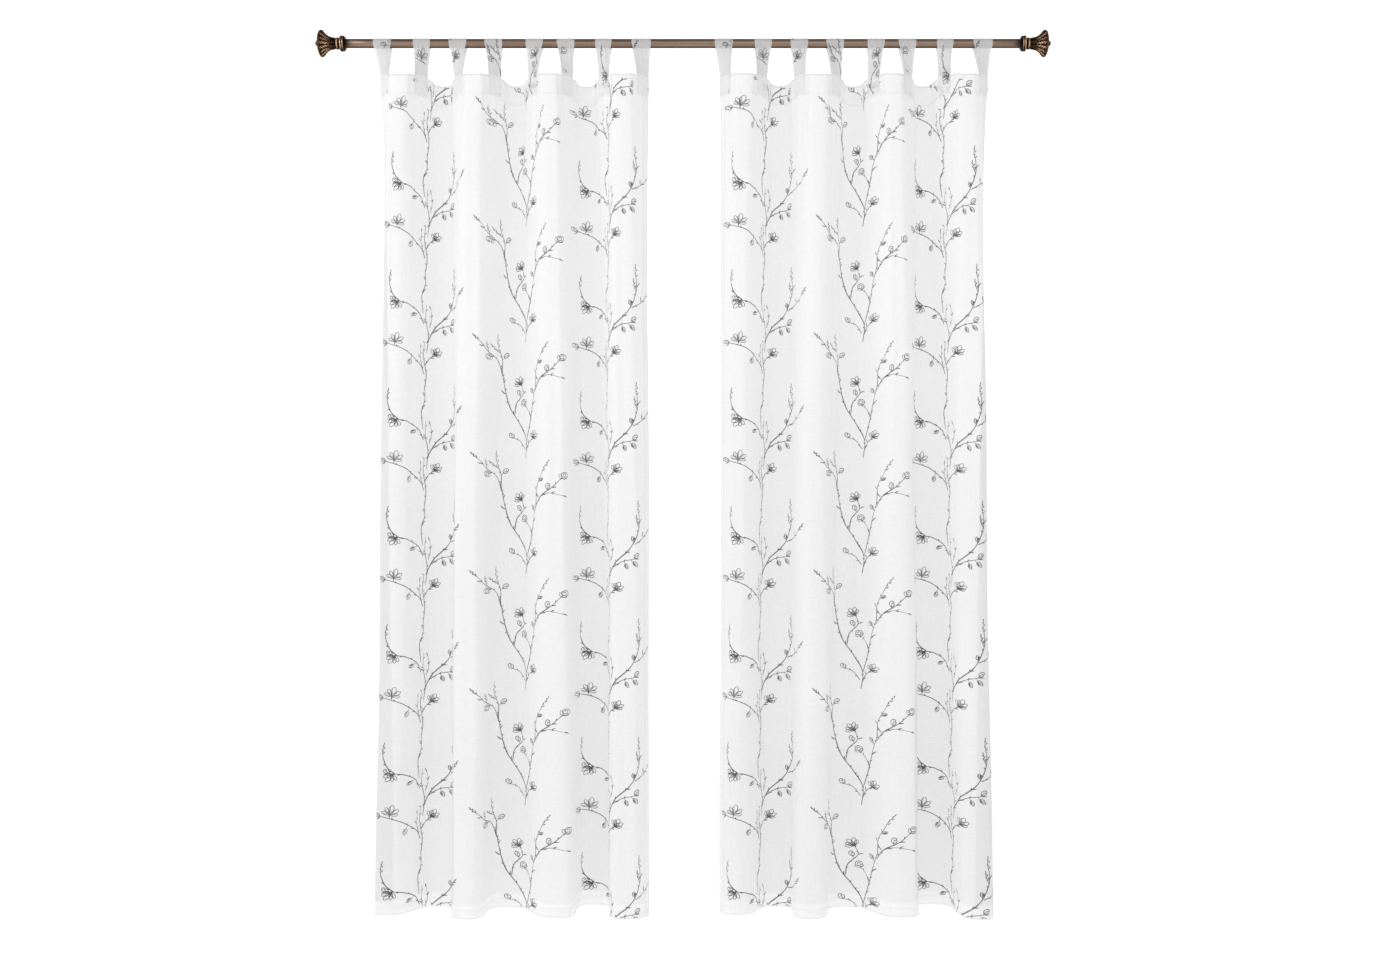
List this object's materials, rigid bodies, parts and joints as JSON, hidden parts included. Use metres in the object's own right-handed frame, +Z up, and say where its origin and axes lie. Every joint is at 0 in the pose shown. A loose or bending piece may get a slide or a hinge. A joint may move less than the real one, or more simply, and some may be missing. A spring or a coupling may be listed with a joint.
{
  "type": "sheer voile tab-top curtain pair on a curtain rod",
  "caption": "Pair of sheer voile curtains with deep soft folds, hung by sewn tabs from one round rod with flared finials.",
  "frame": {"origin": "middle of the rod's axis, where the wall brackets' line of support lies", "axes": "+X along the rod to the viewer's right, -Y towards the room, +Z up"},
  "size_m": [1.7952, 0.1054, 2.1555],
  "materials": {
    "voile": "sheer white voile printed with fine grey sprigs",
    "rod": "satin antique bronze, fine lengthwise brushing",
    "finial": "cast antique bronze, dark in the hollows and golden on the high points"
  },
  "bodies": {
    "root": {"rod": "rod", "collar_left": "finial", "collar_right": "finial", "finial_left": "finial", "finial_right": "finial", "panel_left": "voile", "panel_right": "voile", "tab_left_1": "voile", "tab_left_2": "voile", "tab_left_3": "voile", "tab_left_4": "voile", "tab_left_5": "voile", "tab_left_6": "voile", "tab_left_7": "voile", "tab_left_8": "voile", "tab_right_1": "voile", "tab_right_2": "voile", "tab_right_3": "voile", "tab_right_4": "voile", "tab_right_5": "voile", "tab_right_6": "voile", "tab_right_7": "voile", "tab_right_8": "voile"}
  },
  "joints": []
}
